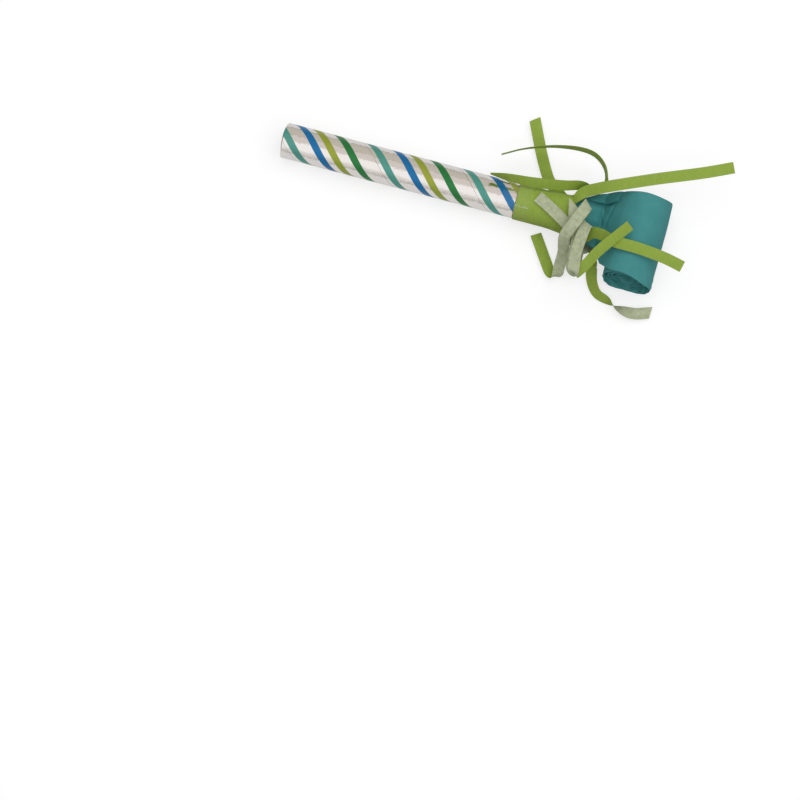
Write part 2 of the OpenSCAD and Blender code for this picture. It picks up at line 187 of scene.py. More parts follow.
# A point's place along the print, in turns of the stripes: it falls by one for each turn around the tube
slant = node(tree, "Math", {0: turn.outputs[0], 1: -1 / (2 * np.pi), 2: STRIPE_START / 360},
             operation="MULTIPLY_ADD")
along = node(tree, "Math", {0: axes.outputs["X"], 1: 1000 / STRIPE_TURN, 2: slant.outputs[0]},
             operation="MULTIPLY_ADD")
print_place = node(tree, "Math", {0: along.outputs[0]}, operation="FRACT")
stripes = node(tree, "ValToRGB", {"Fac": print_place.outputs[0]})
silver = (*linear("#efeae6")[:3], 0.0)
bands = stripes.color_ramp
bands.interpolation = "CONSTANT"
bands.elements[0].color = silver
bands.elements[1].position = SEAM_AT / STRIPE_TURN
bands.elements[1].color = (*linear("#6f786f")[:3], 0.6)
bands.elements.new((SEAM_AT + SEAM_W) / STRIPE_TURN).color = silver
for centre, ink in STRIPES:
    bands.elements.new((centre - STRIPE_W / 2) / STRIPE_TURN).color = linear(ink)
    bands.elements.new((centre + STRIPE_W / 2) / STRIPE_TURN).color = silver
# Creases: fine ones every 0.5 mm along the tube and longer around it, and coarser dents of 3.5 mm
stretched = node(tree, "Mapping", {"Vector": place, "Scale": (1 / 0.0005, 1 / 0.0022, 1 / 0.0022)})
crease = node(tree, "TexNoise", {"Vector": stretched.outputs["Vector"], "Scale": 1.0, "Detail": 3.0, "Roughness": 0.6})
dent = node(tree, "TexNoise", {"Vector": place, "Scale": 1 / 0.0035, "Detail": 4.0, "Roughness": 0.6})
near_joint = node(tree, "MapRange", {"Value": axes.outputs["X"], "From Min": 0.074, "From Max": 0.086,
                                     "To Min": 0.4, "To Max": 1.0}, interpolation_type="SMOOTHSTEP")
fine = node(tree, "Bump", {"Height": crease.outputs["Fac"], "Strength": near_joint.outputs[0], "Distance": 0.00006})
both = node(tree, "Bump", {"Height": dent.outputs["Fac"], "Strength": 0.6, "Distance": 0.0004,
                           "Normal": fine.outputs["Normal"]})
gloss = node(tree, "MapRange", {"Value": stripes.outputs["Alpha"], "To Min": 0.1, "To Max": 0.28})
metal = node(tree, "MapRange", {"Value": stripes.outputs["Alpha"], "To Min": 1.0, "To Max": 0.3})
tree.links.new(stripes.outputs["Color"], shader.inputs["Base Color"])
tree.links.new(metal.outputs[0], shader.inputs["Metallic"])
tree.links.new(gloss.outputs[0], shader.inputs["Roughness"])
tree.links.new(both.outputs["Normal"], shader.inputs["Normal"])

rings = foil_points()
foil_wrap = piece("foil_wrap_sheet", rings, quads(*rings.shape[:2], wrap_rows=True, wrap_cols=True), [foil])
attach(foil_wrap, "tube")
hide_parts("foil_wrap")


# Bladder
# One sleeve of teal paper: a round neck gathered flat past the tube, a flat stretch that climbs to the roll,
# and four turns rolled up by a coiled wire inside. It is cut here at each fold line.

TUBE_END, GATHER_L, HINGE_Y = 98.0, 20.0, -1.0
NECK_R, FLAT_T, PAPER_T = 6.5, 0.7, 0.14
NECK_X, BEND_X, BEND_R, RISE = 88.0, 117.595, 1.2, np.radians(51)
# The roll's radius, its fall each link, and the degrees where it starts and that each link turns
ROLL_R, ROLL_STEP, ROLL_START, LINKS, LINK_TURN = 9.55, 0.2333, 141, 24, 60
ROLL_CENTRE = np.array([132.247, 2.2118])
WIRE_Y, WIRE_R, WIRE_COLS = -2.0, 0.11, 6
NECK_RINGS, BEND_RINGS, PANEL_RINGS, PER_LINK, SLEEVE_COLS = 48, 8, 23, 16, 160
FOLD_RING = NECK_RINGS + BEND_RINGS - 1

# Dyed tissue-weight paper: matte, with short fibres, faint cloudy dye and shallow crumple lines
teal, tree, shader = finish_named("teal_bladder_paper")
lay = node(tree, "Attribute", attribute_name="lay").outputs["Vector"]
cloud = node(tree, "TexNoise", {"Vector": lay, "Scale": 1 / 0.006, "Detail": 4.0, "Roughness": 0.55})
dye = node(tree, "Mix", {0: cloud.outputs["Fac"], 6: linear("#358282"), 7: linear("#479595")}, data_type="RGBA")
fibre = node(tree, "TexNoise", {"Vector": lay, "Scale": 1 / 0.00035, "Detail": 3.0})
speck = node(tree, "MapRange", {"Value": fibre.outputs["Fac"], "From Min": 0.3, "From Max": 0.7,
                                "To Min": 0.93, "To Max": 1.06})
toned = node(tree, "Mix", {0: 1.0, 6: dye.outputs[2], 7: speck.outputs[0]}, data_type="RGBA", blend_type="MULTIPLY")
cells = node(tree, "TexVoronoi", {"Vector": lay, "Scale": 1 / 0.007, "Randomness": 1.0}, feature="DISTANCE_TO_EDGE")
ridge = node(tree, "MapRange", {"Value": cells.outputs["Distance"], "From Max": 0.08, "To Min": 1.0, "To Max": 0.0})
lines = node(tree, "Bump", {"Height": ridge.outputs[0], "Strength": 0.25, "Distance": 0.00015})
grain = node(tree, "Bump", {"Height": fibre.outputs["Fac"], "Strength": 0.3, "Distance": 0.00004,
                            "Normal": lines.outputs["Normal"]})
tree.links.new(toned.outputs[2], shader.inputs["Base Color"])
tree.links.new(grain.outputs["Normal"], shader.inputs["Normal"])
shader.inputs["Roughness"].default_value = 0.72

# Spring steel wire, drawn: bright grey with fine lines along it
wire_steel, tree, shader = finish_named("drawn_spring_steel")
place = node(tree, "TexCoord").outputs["Object"]
drawn = node(tree, "TexNoise", {"Vector": place, "Scale": 1 / 0.0002, "Detail": 2.0})
tone = node(tree, "Mix", {0: drawn.outputs["Fac"], 6: linear("#9a9a9c"), 7: linear("#c4c4c6")}, data_type="RGBA")
tree.links.new(tone.outputs[2], shader.inputs["Base Color"])
shader.inputs["Metallic"].default_value = 1.0
shader.inputs["Roughness"].default_value = 0.3


def roll_path(t):
    """Middle of the rolled sleeve t links past the rise: arcs of one link each whose radius falls by one
    step a link, each with its centre moved so that it leaves the last arc along a common tangent.
    Also the normal, which points out of the roll."""
    link = np.minimum(np.floor(t), LINKS - 1).astype(int)
    first = np.radians(ROLL_START - LINK_TURN * np.arange(LINKS))
    shift = ROLL_STEP * np.stack([np.cos(first), np.sin(first)], -1)
    shift[0] = 0
    centre = ROLL_CENTRE + np.cumsum(shift, 0)
    out = np.radians(ROLL_START - LINK_TURN * t)
    normal = np.stack([np.cos(out), np.sin(out)], -1)
    return centre[link] + (ROLL_R - ROLL_STEP * link)[:, None] * normal, normal


def sleeve_path():
    """Middle line and upward normal from the neck to the tip: straight along the tube, a small bend
    at the fold line, straight up the rise, and then around the roll. Also the length along it."""
    x = np.linspace(NECK_X, BEND_X, NECK_RINGS)
    neck = np.stack([x, 0 * x], -1), np.stack([0 * x, 0 * x + 1], -1)
    a = np.linspace(0, RISE, BEND_RINGS + 1)[1:]
    normal = np.stack([-np.sin(a), np.cos(a)], -1)
    bend = np.stack([BEND_X + BEND_R * np.sin(a), BEND_R * (1 - np.cos(a))], -1), normal
    start = roll_path(np.zeros(1))[0][0]
    s = np.linspace(0, 1, PANEL_RINGS + 2)[1:-1, None]
    panel = bend[0][-1] + s * (start - bend[0][-1]), 0 * s + bend[1][-1]
    roll = roll_path(np.arange(LINKS * PER_LINK + 1) / PER_LINK)
    middle, normal = (np.concatenate(v) for v in zip(neck, bend, panel, roll))
    step = np.linalg.norm(np.diff(middle, axis=0), axis=1)
    return middle, normal, np.concatenate([[0], np.cumsum(step)])


def crumple(past, y):
    """Height that creases add to both layers of the sleeve, and how far they pull it sideways.
    A crease crosses the rise where it meets the roll. Along the far side a fold starts in the neck: the paper
    sinks towards it, climbs a steep wall and leans back over it. Slow waves and end ripples cover the roll."""
    crease = np.maximum(0, 1 - np.abs(past - 2.8 - 0.024 * (y + 3) ** 2) / 0.9) * np.clip((y + 9) / 4, 0, 1)
    beside = y - np.interp(past, [-12, -6, 0, 5, 9], [5.2, 6.6, 7.4, 7.9, 8.6])
    depth = np.interp(past, [-13, -9, -3, 3, 9], [0, 0.7, 1.2, 1.1, 0])
    wall = np.clip(beside / 0.9, 0, 1)
    sunk = np.where(beside < 0, np.clip(1 + beside / 2.4, 0, 1) ** 2, 1 - 1.35 * wall)
    wave = np.sin(y / 3.1 + past / 4.3) + np.sin(y / 5.7 - past / 6.1 + 1) + np.sin(y / 2.1 + past / 9 + 2)
    end = np.clip((-y - 14) / 5, 0, 1) * np.clip((past - 20) / 10, 0, 1)
    end = end * (0.16 * np.sin(past * 1.7 + y) + 0.1 * np.sin(past * 0.9 - 2.1 * y))
    lift = 0.03 * wave * np.clip(past / 5, 0, 1) - 0.4 * crease - depth * sunk + end
    return lift, -0.9 * depth * wall * np.clip(1 - (beside - 0.9) / 3, 0, 1)


def sleeve_points(middle, normal, length, inset):
    """Rings across the sleeve: y runs as a cosine between its two edges, and the height above the middle as
    a power of the sine, a circle at the neck and a flat slip with pressed edges further on.
    Pleats gather the neck, whose far edge flares to the flap, and creases crumple the rest.
    The inside of the paper is the same shape, smaller by the inset. Also each point's place on the paper."""
    ring = np.linspace(0, 2 * np.pi, SLEEVE_COLS, endpoint=False)[None, :]
    past = (length - length[FOLD_RING])[:, None]
    s = np.clip((past + GATHER_L) / GATHER_L, 0, 1)
    near = np.interp(past, [0, 2, 5, 10.6, 20.6, 31, 41, 58, 68, 90, 120, 300],
                     [-10, -12.8, -16, -17.8, -19.4, -20.9, -20.6, -19.9, -18.4, -18.8, -18.2, -17.6])
    far = np.interp(past, [0, 5, 10.6, 17, 31, 41, 300], [11.4, 11.8, 12, 12.3, 12.5, 12.4, 12.4])
    ripple = (0.25 * np.sin(past / 2.3) + 0.2 * np.sin(past / 5.1 + 1)) * np.clip(past / 10, 0, 1)
    near, far = near + ripple, far + 0.5 * ripple
    w = np.where(past < 0, NECK_R + 2.5 * s ** 1.5, (far - near) / 2) - inset
    mid_y = np.where(past < 0, HINGE_Y * s ** 2, (far + near) / 2)
    shut = np.clip((length[-1] - length[:, None]) / 2, 0, 1)
    h = NECK_R + (FLAT_T / 2 - NECK_R) * s ** 2.2
    h = np.maximum(h * (0.5 + 0.5 * shut) - inset, 0.02)
    side = np.sin(ring)
    flare = np.interp(past, [-12, -10, -8, -6, -4, -2, 0], [0, 0.4, 0.8, 1.8, 2.6, 3.1, 3.4])
    y = mid_y + w * np.cos(ring) + np.where(past < 0, flare, 0) * np.clip(np.cos(ring), 0, 1) ** 2
    up = h * np.sign(side) * np.abs(side) ** (1 - 0.6 * s ** 3)
    pleat = np.clip((s - 0.15) / 0.7, 0, 1) * np.clip(1 - past / 6, 0, 1)
    pleat = 0.22 * pleat * np.sin(14 * ring + past / 5) * np.abs(side)
    lift, pull = crumple(past, y)
    lay = np.stack([np.broadcast_to(length[:, None], y.shape), np.where(side >= 0, y, y + 200), 0 * y], -1)
    up, y = up + pleat + lift, y + pull
    points = np.stack([middle[:, :1] + up * normal[:, :1], y, middle[:, 1:] + up * normal[:, 1:]], -1)
    return points, lay / 1000


def wire_points(middle, normal, length):
    """Small rings around the wire, which keeps to the middle of the sleeve and its creases."""
    ring = np.linspace(0, 2 * np.pi, WIRE_COLS, endpoint=False)[None, :]
    lift, pull = crumple((length - length[FOLD_RING])[:, None], np.full((1, 1), WIRE_Y))
    up = lift + WIRE_R * np.sin(ring)
    y = WIRE_Y + pull + WIRE_R * np.cos(ring) + 0 * middle[:, :1]
    return np.stack([middle[:, :1] + up * normal[:, :1], y, middle[:, 1:] + up * normal[:, 1:]], -1)


middle, normal, length = sleeve_path()
outside, outside_lay = sleeve_points(middle, normal, length, 0)
inside, inside_lay = sleeve_points(middle, normal, length, PAPER_T)
wire = wire_points(middle, normal, length)
WIRE_FROM, WIRE_TO = 40, len(middle) - 24


def bladder_length(name, first, last):
    """A length of sleeve between two rings: its outside, then its inside taken backwards, which closes it.
    Its length of wire lies inside, with both ends closed."""
    sheet = np.concatenate([outside[first:last + 1], inside[first:last + 1][::-1]])
    flat = np.concatenate([outside_lay[first:last + 1], inside_lay[first:last + 1][::-1]]).reshape(-1, 3)
    faces = quads(*sheet.shape[:2], wrap_rows=True, wrap_cols=True)
    points, finish_of = sheet.reshape(-1, 3), 0 * faces[:, 0]
    core = wire[max(first, WIRE_FROM):min(last, WIRE_TO) + 1]
    if len(core) > 1:
        cap = np.array([[0, 1, 4, 5], [1, 2, 3, 4]])
        ends = [cap[:, ::-1], cap + WIRE_COLS * (len(core) - 1)]
        extra = np.concatenate([quads(len(core), WIRE_COLS, wrap_cols=True), *ends])
        faces = np.concatenate([faces, extra + len(points)])
        finish_of = np.concatenate([finish_of, 1 + 0 * extra[:, 0]])
        points = np.concatenate([points, core.reshape(-1, 3)])
        flat = np.concatenate([flat, core.reshape(-1, 3) / 1000])
    made = piece(name, points, faces, [teal, wire_steel], finish_of, flat)
    return made


# Each length spans one fold line, from the middle of one body to the middle of the next.
numbers = [f"{i:02d}" for i in range(1, LINKS)]
solids = ["bladder_neck", "bladder_panel", *("bladder_" + n for n in numbers), "bladder_tip"]
roll_first = len(middle) - LINKS * PER_LINK - 1
panel_middle = FOLD_RING + 1 + PANEL_RINGS // 2
cuts = [0, panel_middle, *(roll_first + PER_LINK * i + PER_LINK // 2 for i in range(LINKS)), len(middle) - 1]
bladder = [bladder_length(n + "_paper", a, b) for n, a, b in zip(solids, cuts, cuts[1:])]
for i, length_of in enumerate(bladder[:-1]):
    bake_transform(length_of)
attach(bladder[-1], "link_tip")
for made, solid in zip(bladder, solids):
    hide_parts(solid)
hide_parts("return_spring")


# Fringe
# One sheet of lime paper, pale on its reverse, wrapped around the joint as a collar and glued.
# Its free part is slit into ten strips that curl out in all directions over the tube and the roll.

COLLAR_R, COLLAR_X, COLLAR_END, SLIT_BACK = 6.731, 86.8, 112.6, 7.0
FLARE_W, FLARE_H, FRINGE_T = 8.6, 5.0, 0.12
STRIP_N, STRIP_W, STRIP_COLS, STRIP_ROWS = 10, 4.2, 8, 144
# How far a strip cups, and the lengths over which its end slants and its root eases to its width
CUP, SLANT_L, ROOT_L = 0.12, 6.0, 1.5
# Height over the roll, the near side of the roll, and the lowest a strip hangs
OVER, NEAR, LOW = 14.11, -22.5, -6.32
# Points that each strip passes, along X from the collar's end, with the turn of its width in degrees.
# The strips come in order around the collar from the +Y side over the top.
STRIPS = (
    ((-2, 9.4, 3.6, -10), (3, 12.4, 3.8, -14), (3.4, 16, 3.6, 8), (1.4, 20.4, 3, 14), (-3, 23.6, 2.8, 16),
     (-9.4, 24.2, 2.6, 20), (-18.6, 22.6, 2.4, 28), (-28, 19.2, 2.2, 33), (-35.6, 15, 2, 34)),
    ((-3, 8, 5.8, -49), (2.2, 10.2, OVER - 5.2, -51), (9, 12.6, OVER - 2.2, -54),
     (21.6, 17.8, OVER - 0.6, -54), (36.4, 24.2, OVER - 1.2, -54), (47, 29.6, OVER - 2.6, -53)),
    ((-1.2, 0.6, 6, 0), (-0.2, 3.6, 8.6, 10), (-1, 0.6, 11.2, -10), (-3.4, -5.4, 11.6, -11),
     (-5.4, -10, 8.8, -6), (-5.2, -12.4, 5.4, 8), (-4.6, -14.8, 2.2, 4), (-4.8, -18.8, -1.8, -4),
     (-4.8, -21.2, -3.6, 16), (-5.8, NEAR, LOW + 1.4, 60), (-7.6, NEAR + 1.2, LOW + 1.2, 96),
     (-10.2, -17.6, LOW + 1.2, 109), (-13.6, -12.6, LOW + 1.2, 108), (-16.2, -8.8, LOW + 1.2, 108)),
    ((0, -5.4, 4.6, 0), (1.6, -3.4, 7.6, -20), (0.9, -5, OVER - 4.9, -35), (0.4, -10.2, OVER - 3.2, -35),
     (0.2, -16.6, OVER - 0.4, -38), (0.8, NEAR + 0.2, OVER + 2.6, -40), (1.2, NEAR - 1.8, OVER + 2.2, -56),
     (1.8, NEAR - 1.4, OVER, -93), (4.8, -19.2, OVER - 1.4, -113), (8.2, -13.4, OVER + 0.6, -114),
     (16.4, -2.4, OVER + 2.6, -114)),
    ((1.6, -7.4, 3.6, 30), (4, -5.8, 6.2, 46), (7.6, -6.5, OVER - 4.8, 52), (12.2, -8.6, OVER - 1.2, 57),
     (21.6, -9.2, OVER + 0.2, 56), (31, -9.8, OVER - 1.2, 56), (38.2, -10.8, OVER - 3.2, 55)),
    ((1.6, -9.8, -1.8, -15), (1.6, -11.6, 0.6, -20), (-1, -11.2, 3.8, 70), (-3.8, -7, 5.6, 80),
     (-7, -4.6, 6.8, 78), (-12.8, -1.4, 7.8, 78), (-18.6, 1.6, 7.8, 78)),
    ((0, -7.6, -4, -5), (0.6, -14, -4.4, 0), (0.4, -19, -3.6, 0), (-0.6, -18, 0.8, 142),
     (-0.9, -15.6, 3.6, 129), (-0.7, -12.2, 6.2, 130), (-1.2, -8.2, 6.9, 133), (-2.9, -4.8, 7.1, 135),
     (-4.2, -1.6, 8.6, 136), (-5, 2, 9.2, 135)),
    ((-0.6, -2.4, LOW + 0.8, 5), (3.8, -8.4, LOW + 0.3, 18), (6.8, -13.6, LOW + 2.8, 115),
     (6.6, -16, -4, 172), (8, -20.8, -4.4, 161), (10.8, NEAR - 2, -4.6, 146), (15.2, NEAR - 3.6, -4.6, 129),
     (19.8, NEAR - 5.4, -4.4, 60), (25.4, NEAR - 5.8, -4.4, 7), (31.4, NEAR - 3.8, LOW + 1.4, -2)),
    ((-3.6, 4.4, LOW + 1.4, 0), (-4.6, 5.2, LOW + 0.4, -32), (-9.6, 6.8, LOW + 0.4, -33),
     (-13.4, 9.4, LOW + 0.6, -34), (-16.8, 12.2, LOW + 1.2, -36), (-20.8, 18.8, LOW + 1.6, -37),
     (-24.2, 25.6, LOW + 1.8, -38), (-27.6, 32.8, -4.4, -38)),
    ((-3.8, 8.6, -2.6, -10), (-2.2, 10.4, -2.2, -30), (-2.6, 11.2, 0, -142), (-5.2, 11, 2.6, -172),
     (-10.2, 9, 4.8, -182), (-15.6, 7.4, 7, -182), (-22.8, 6, 8.6, -174), (-31.2, 5.4, 9.2, -154),
     (-37.2, 5, 9.4, -126)),
)
# How far each strip's end is cut aslant, as the lead in millimetres of its counter-clockwise edge
STRIP_CUTS = np.array([0, 0, 0, 0, 0, 0, 4.5, 1.5, 0.9, 0])

# Coloured paper, dyed on one face: matte lime with fine lines across the strip from the paper machine
lime, tree, shader = finish_named("lime_fringe_paper")
lay = node(tree, "Attribute", attribute_name="lay").outputs["Vector"]
lined = node(tree, "Mapping", {"Vector": lay, "Scale": (1 / 0.0005, 1 / 0.004, 1 / 0.004)})
rib = node(tree, "TexNoise", {"Vector": lined.outputs["Vector"], "Scale": 1.0, "Detail": 3.0, "Roughness": 0.6})
dye = node(tree, "Mix", {0: rib.outputs["Fac"], 6: linear("#809d33"), 7: linear("#9fb44a")}, data_type="RGBA")
fibre = node(tree, "TexNoise", {"Vector": lay, "Scale": 1 / 0.0004, "Detail": 3.0})
speck = node(tree, "MapRange", {"Value": fibre.outputs["Fac"], "From Min": 0.3, "From Max": 0.7,
                                "To Min": 0.94, "To Max": 1.05})
toned = node(tree, "Mix", {0: 1.0, 6: dye.outputs[2], 7: speck.outputs[0]}, data_type="RGBA", blend_type="MULTIPLY")
grain = node(tree, "Bump", {"Height": rib.outputs["Fac"], "Strength": 0.3, "Distance": 0.00006})
tree.links.new(toned.outputs[2], shader.inputs["Base Color"])
tree.links.new(grain.outputs["Normal"], shader.inputs["Normal"])
shader.inputs["Roughness"].default_value = 0.68

# The same paper's undyed reverse: pale grey-green where the dye shows through in clouds and pinholes
reverse, tree, shader = finish_named("undyed_paper_reverse")
lay = node(tree, "Attribute", attribute_name="lay").outputs["Vector"]
cloud = node(tree, "TexNoise", {"Vector": lay, "Scale": 1 / 0.0018, "Detail": 5.0, "Roughness": 0.62})
soaked = node(tree, "MapRange", {"Value": cloud.outputs["Fac"], "From Min": 0.3, "From Max": 0.7})
tone = node(tree, "Mix", {0: soaked.outputs[0], 6: linear("#a2aa86"), 7: linear("#c2c7a8")}, data_type="RGBA")
grain = node(tree, "Bump", {"Height": cloud.outputs["Fac"], "Strength": 0.25, "Distance": 0.00006})
tree.links.new(tone.outputs[2], shader.inputs["Base Color"])
tree.links.new(grain.outputs["Normal"], shader.inputs["Normal"])
shader.inputs["Roughness"].default_value = 0.75


def smooth_path(points, rows):
    """Places along the smooth curve that passes each point, by Catmull and Rom's cubic on each span."""
    p = np.concatenate([2 * points[:1] - points[1:2], points, 2 * points[-1:] - points[-2:-1]])
    u = (len(points) - 1) * np.arange(rows + 1) / rows
    i = np.minimum(u.astype(int), len(points) - 2)
    t = (u - i)[:, None]
    a, b, c, d = (p[i + n] for n in range(4))
    return b + t / 2 * (c - a) + t ** 2 * (a - 2.5 * b + 2 * c - d / 2) + t ** 3 * (1.5 * b - 1.5 * c + (d - a) / 2)


def unit(v):
    """Vectors divided by their lengths."""
    return v / np.linalg.norm(v, axis=-1, keepdims=True)


def collar_shape(x, inset):
    """Half width, half height and middle of the collar at x: round on the tube, and past it an oval that
    widens and sinks as powers of the distance."""
    s = np.clip((x - TUBE_END) / (COLLAR_END - TUBE_END), 0, 1)
    w = COLLAR_R + (FLARE_W - COLLAR_R) * s ** 1.5 - inset
    h = COLLAR_R + (FLARE_H - COLLAR_R) * s ** 2 - inset
    return w, h, HINGE_Y * np.clip((x - TUBE_END) / GATHER_L, 0, 1) ** 2


def slit_start(q):
    """Where the slits start at an angle around the collar: a plane cut that lies further back towards +Y."""
    return COLLAR_END - SLIT_BACK * (1 + np.cos(q)) / 2


def collar_points(inset):
    """Rings of the collar, square to the tube up to its end and then leaning over to the slits' start."""
    share = np.concatenate([np.linspace(-1, 0, 24), np.linspace(0, 1, 25)[1:]])[:, None]
    ring = np.linspace(0, 2 * np.pi, STRIP_N * STRIP_COLS, endpoint=False)[None, :]
    reach = np.where(share < 0, TUBE_END - COLLAR_X, slit_start(ring) - TUBE_END)
    x = TUBE_END + share * reach
    w, h, y0 = collar_shape(x, inset)
    return np.stack([x, y0 + w * np.cos(ring), h * np.sin(ring)], -1)


def strip_points():
    """Outer and inner faces of the ten strips past their roots. The width of a strip is carried along its
    path without turning about it, then turned by the angle of its points, and cups a little across.
    It eases from the width of the root to the strip's own, and its last stretch shears to the slant of its end."""
    q = 2 * np.pi / STRIP_N * (np.arange(STRIP_N) + 0.5)
    x0 = slit_start(q)
    w, h, y0 = collar_shape(x0, FRINGE_T / 2)
    root = np.stack([x0, y0 + w * np.cos(q), h * np.sin(q), 0 * q], -1)
    full = [np.concatenate([r[None], np.array(p) + [COLLAR_END, 0, 0, 0]]) for r, p in zip(root, STRIPS)]
    path = np.stack([smooth_path(p, STRIP_ROWS) for p in full])
    c = path[..., :3]
    first = np.tile([[[1.0, 0, 0]]], (STRIP_N, 1, 1))
    t = unit(np.concatenate([first, c[:, 2:] - c[:, :-2], c[:, -1:] - c[:, -2:-1]], 1))
    across = [np.stack([0 * q, -w * np.sin(q), h * np.cos(q)], -1)]
    root_half = np.sin(np.pi / STRIP_N) * np.linalg.norm(across[0], axis=1)[:, None]
    for j in range(STRIP_ROWS + 1):
        last = across[-1]
        across.append(unit(last - (last * t[:, j]).sum(-1, keepdims=True) * t[:, j]))
    carried = np.stack(across[1:], 1)
    a = np.radians(path[..., 3:])
    v = np.cos(a) * carried + np.sin(a) * np.cross(carried, t)
    o = np.cross(v, t)
    run = np.concatenate([np.zeros((STRIP_N, 1)), np.linalg.norm(np.diff(c, axis=1), axis=-1).cumsum(1)], 1)
    half = STRIP_W / 2 + (root_half - STRIP_W / 2) * np.exp(-run / ROOT_L)
    slant = np.clip(1 - (run[:, -1:] - run) / SLANT_L, 0, 1) ** 2 * STRIP_CUTS[:, None] / 2
    share = np.linspace(-1, 1, STRIP_COLS + 1)[:, None]
    cup = np.linspace(0, 1, STRIP_ROWS + 1)[None, :, None, None] ** 0.5 * CUP * (1 - share ** 2)
    sheet = c[:, :, None] + half[:, :, None, None] * share * v[:, :, None] + cup * o[:, :, None]
    sheet = sheet + slant[:, :, None, None] * share * t[:, :, None]
    thick = FRINGE_T / 2 * o[:, :, None]
    side = STRIP_W / 2 * share[:, 0] + 6 * np.arange(STRIP_N)[:, None, None]
    flat = np.stack(np.broadcast_arrays(x0[:, None, None] + run[:, :, None], side, 0.0), -1)
    return (sheet + thick)[:, 1:], (sheet - thick)[:, 1:], flat[:, 1:]


collar = [collar_points(0), collar_points(FRINGE_T)]
rows, cols = collar[0].shape[:2]
outer, inner, strip_lay = strip_points()
ring = np.linspace(0, 2 * np.pi, cols, endpoint=False)[None, :]
collar_lay = np.stack([collar[0][..., 0], 0 * collar[0][..., 0] + COLLAR_R * ring, 0 * collar[0][..., 0]], -1)
points = np.concatenate([v.reshape(-1, 3) for v in (*collar, outer, inner)])
flat = np.concatenate([v.reshape(-1, 3) for v in (collar_lay, collar_lay, strip_lay, strip_lay)]) / 1000

# Index grids of both faces: the collar's rings, then each strip's rows from the collar's last ring on
band = quads(rows, cols, wrap_cols=True)
k, j, i = np.meshgrid(np.arange(STRIP_N), np.arange(STRIP_ROWS + 1), np.arange(STRIP_COLS + 1), indexing="ij")
root = (rows - 1) * cols + (STRIP_COLS * k + i) % cols
past_root = 2 * rows * cols + (k * STRIP_ROWS + j - 1) * (STRIP_COLS + 1) + i
top = np.where(j == 0, root, past_root)
under = np.where(j == 0, root + rows * cols, past_root + STRIP_N * STRIP_ROWS * (STRIP_COLS + 1))


def between(a, b):
    """Faces of the rim between the edge of the upper face and the same edge of the lower one."""
    return np.stack([a[..., :-1], b[..., :-1], b[..., 1:], a[..., 1:]], -1).reshape(-1, 4)


def strip_faces(grid):
    """Faces between neighbours on each strip's grid of point numbers."""
    return np.stack([grid[:, :-1, :-1], grid[:, :-1, 1:], grid[:, 1:, 1:], grid[:, 1:, :-1]], -1).reshape(-1, 4)


rim = [between(top[:, :, 0], under[:, :, 0])[:, ::-1], between(top[:, :, -1], under[:, :, -1]),
       between(top[:, -1], under[:, -1])[:, ::-1]]
edge = np.arange(cols)
rim.append(np.stack([edge, (edge + 1) % cols, (edge + 1) % cols + rows * cols, edge + rows * cols], -1)[:, ::-1])
lime_faces = [band, strip_faces(top), *rim]
pale_faces = [(band + rows * cols)[:, ::-1], strip_faces(under)[:, ::-1]]
faces = np.concatenate(lime_faces + pale_faces)
finish_of = np.repeat([0, 1], [sum(map(len, lime_faces)), sum(map(len, pale_faces))])
fringe = piece("fringe_sheet", points, faces, [lime, reverse], finish_of, flat)
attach(fringe, "tube")
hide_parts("fringe")


# Tape
# A band of clear film wound once around the joint, half on the foil and half on the fringe's collar.
# It was pulled on by hand, so it puckers a little where it steps up.

FILM_T, FILM_PUCKER, FILM_CREASE = 0.06, 0.03, 0.08
FILM_ROWS, FILM_COLS = 64, 360
FILM_LINE = ((81.5, 6.53), (86.45, 6.53), (86.75, 6.761), (91.8, 6.761))


def film_points():
    """Rings of the film's outside along the joint, then of its inside backwards. Puckers run along the tube
    and fade at both ends of the band, and one crooked crease stands up on the near side of the top.
    Also how much each point lies on that crease, which the film's finish paints white as a painted highlight."""
    x = np.linspace(FILM_LINE[0][0], FILM_LINE[-1][0], FILM_ROWS)
    r = np.interp(x, *np.transpose(FILM_LINE))[:, None]
    turn = np.linspace(0, 2 * np.pi, FILM_COLS, endpoint=False)[None, :]
    s = (x[:, None] - x[0]) / (x[-1] - x[0])
    folds = np.sin(23 * turn + 2 * np.sin(3 * turn)) * np.sin(9 * s + turn)
    pucker = FILM_PUCKER * np.sin(np.pi * s) * (1 + folds) / 2
    line = np.radians(118) + 0.035 * np.sin(19 * s) + 0.02 * np.sin(47 * s + 1)
    crease = np.exp(-((turn - line) * r / 0.11) ** 2) * np.clip((s - 0.45) / 0.05, 0, 1)
    crease = crease * (0.65 + 0.35 * np.sin(61 * s))
    shape = np.concatenate([r + FILM_T + pucker + FILM_CREASE * crease, (r + pucker)[::-1]])
    x = np.concatenate([x, x[::-1]])[:, None]
    crease = np.concatenate([crease, 0 * crease])
    return np.stack([x + 0 * turn, shape * np.cos(turn), shape * np.sin(turn)], -1), np.stack([crease] * 3, -1)


# Polypropylene film: clear, so only a faint shine shows. The crease stands up in its shape, and its white is a painted
# highlight
film, tree, shader = finish_named("clear_polypropylene_film")
crease_highlight_mask = node(tree, "Attribute", attribute_name="lay").outputs["Fac"]
# Painted highlight: along the crease the film turns nearly opaque white, standing in for the lamp's shine
painted_highlight_alpha = node(tree, "MapRange", {"Value": crease_highlight_mask, "From Min": 0.15, "From Max": 0.7,
                                "To Min": 0.015, "To Max": 0.85})
tree.links.new(painted_highlight_alpha.outputs[0], shader.inputs["Alpha"])
shader.inputs["Base Color"].default_value = linear("#f4f5f4")
shader.inputs["Roughness"].default_value = 0.16

rings, crease = film_points()
around = quads(*rings.shape[:2], wrap_rows=True, wrap_cols=True)
tape_band = piece("tape_film", rings, around, [film], lay=crease)
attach(tape_band, "tube")
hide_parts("tape_band")


# Studio
# A white floor under the film's lowest point, one large soft lamp overhead, and even light around.
# The floor and the surroundings look white to the camera, the floor keeps its shadow, and foil mirrors a room.

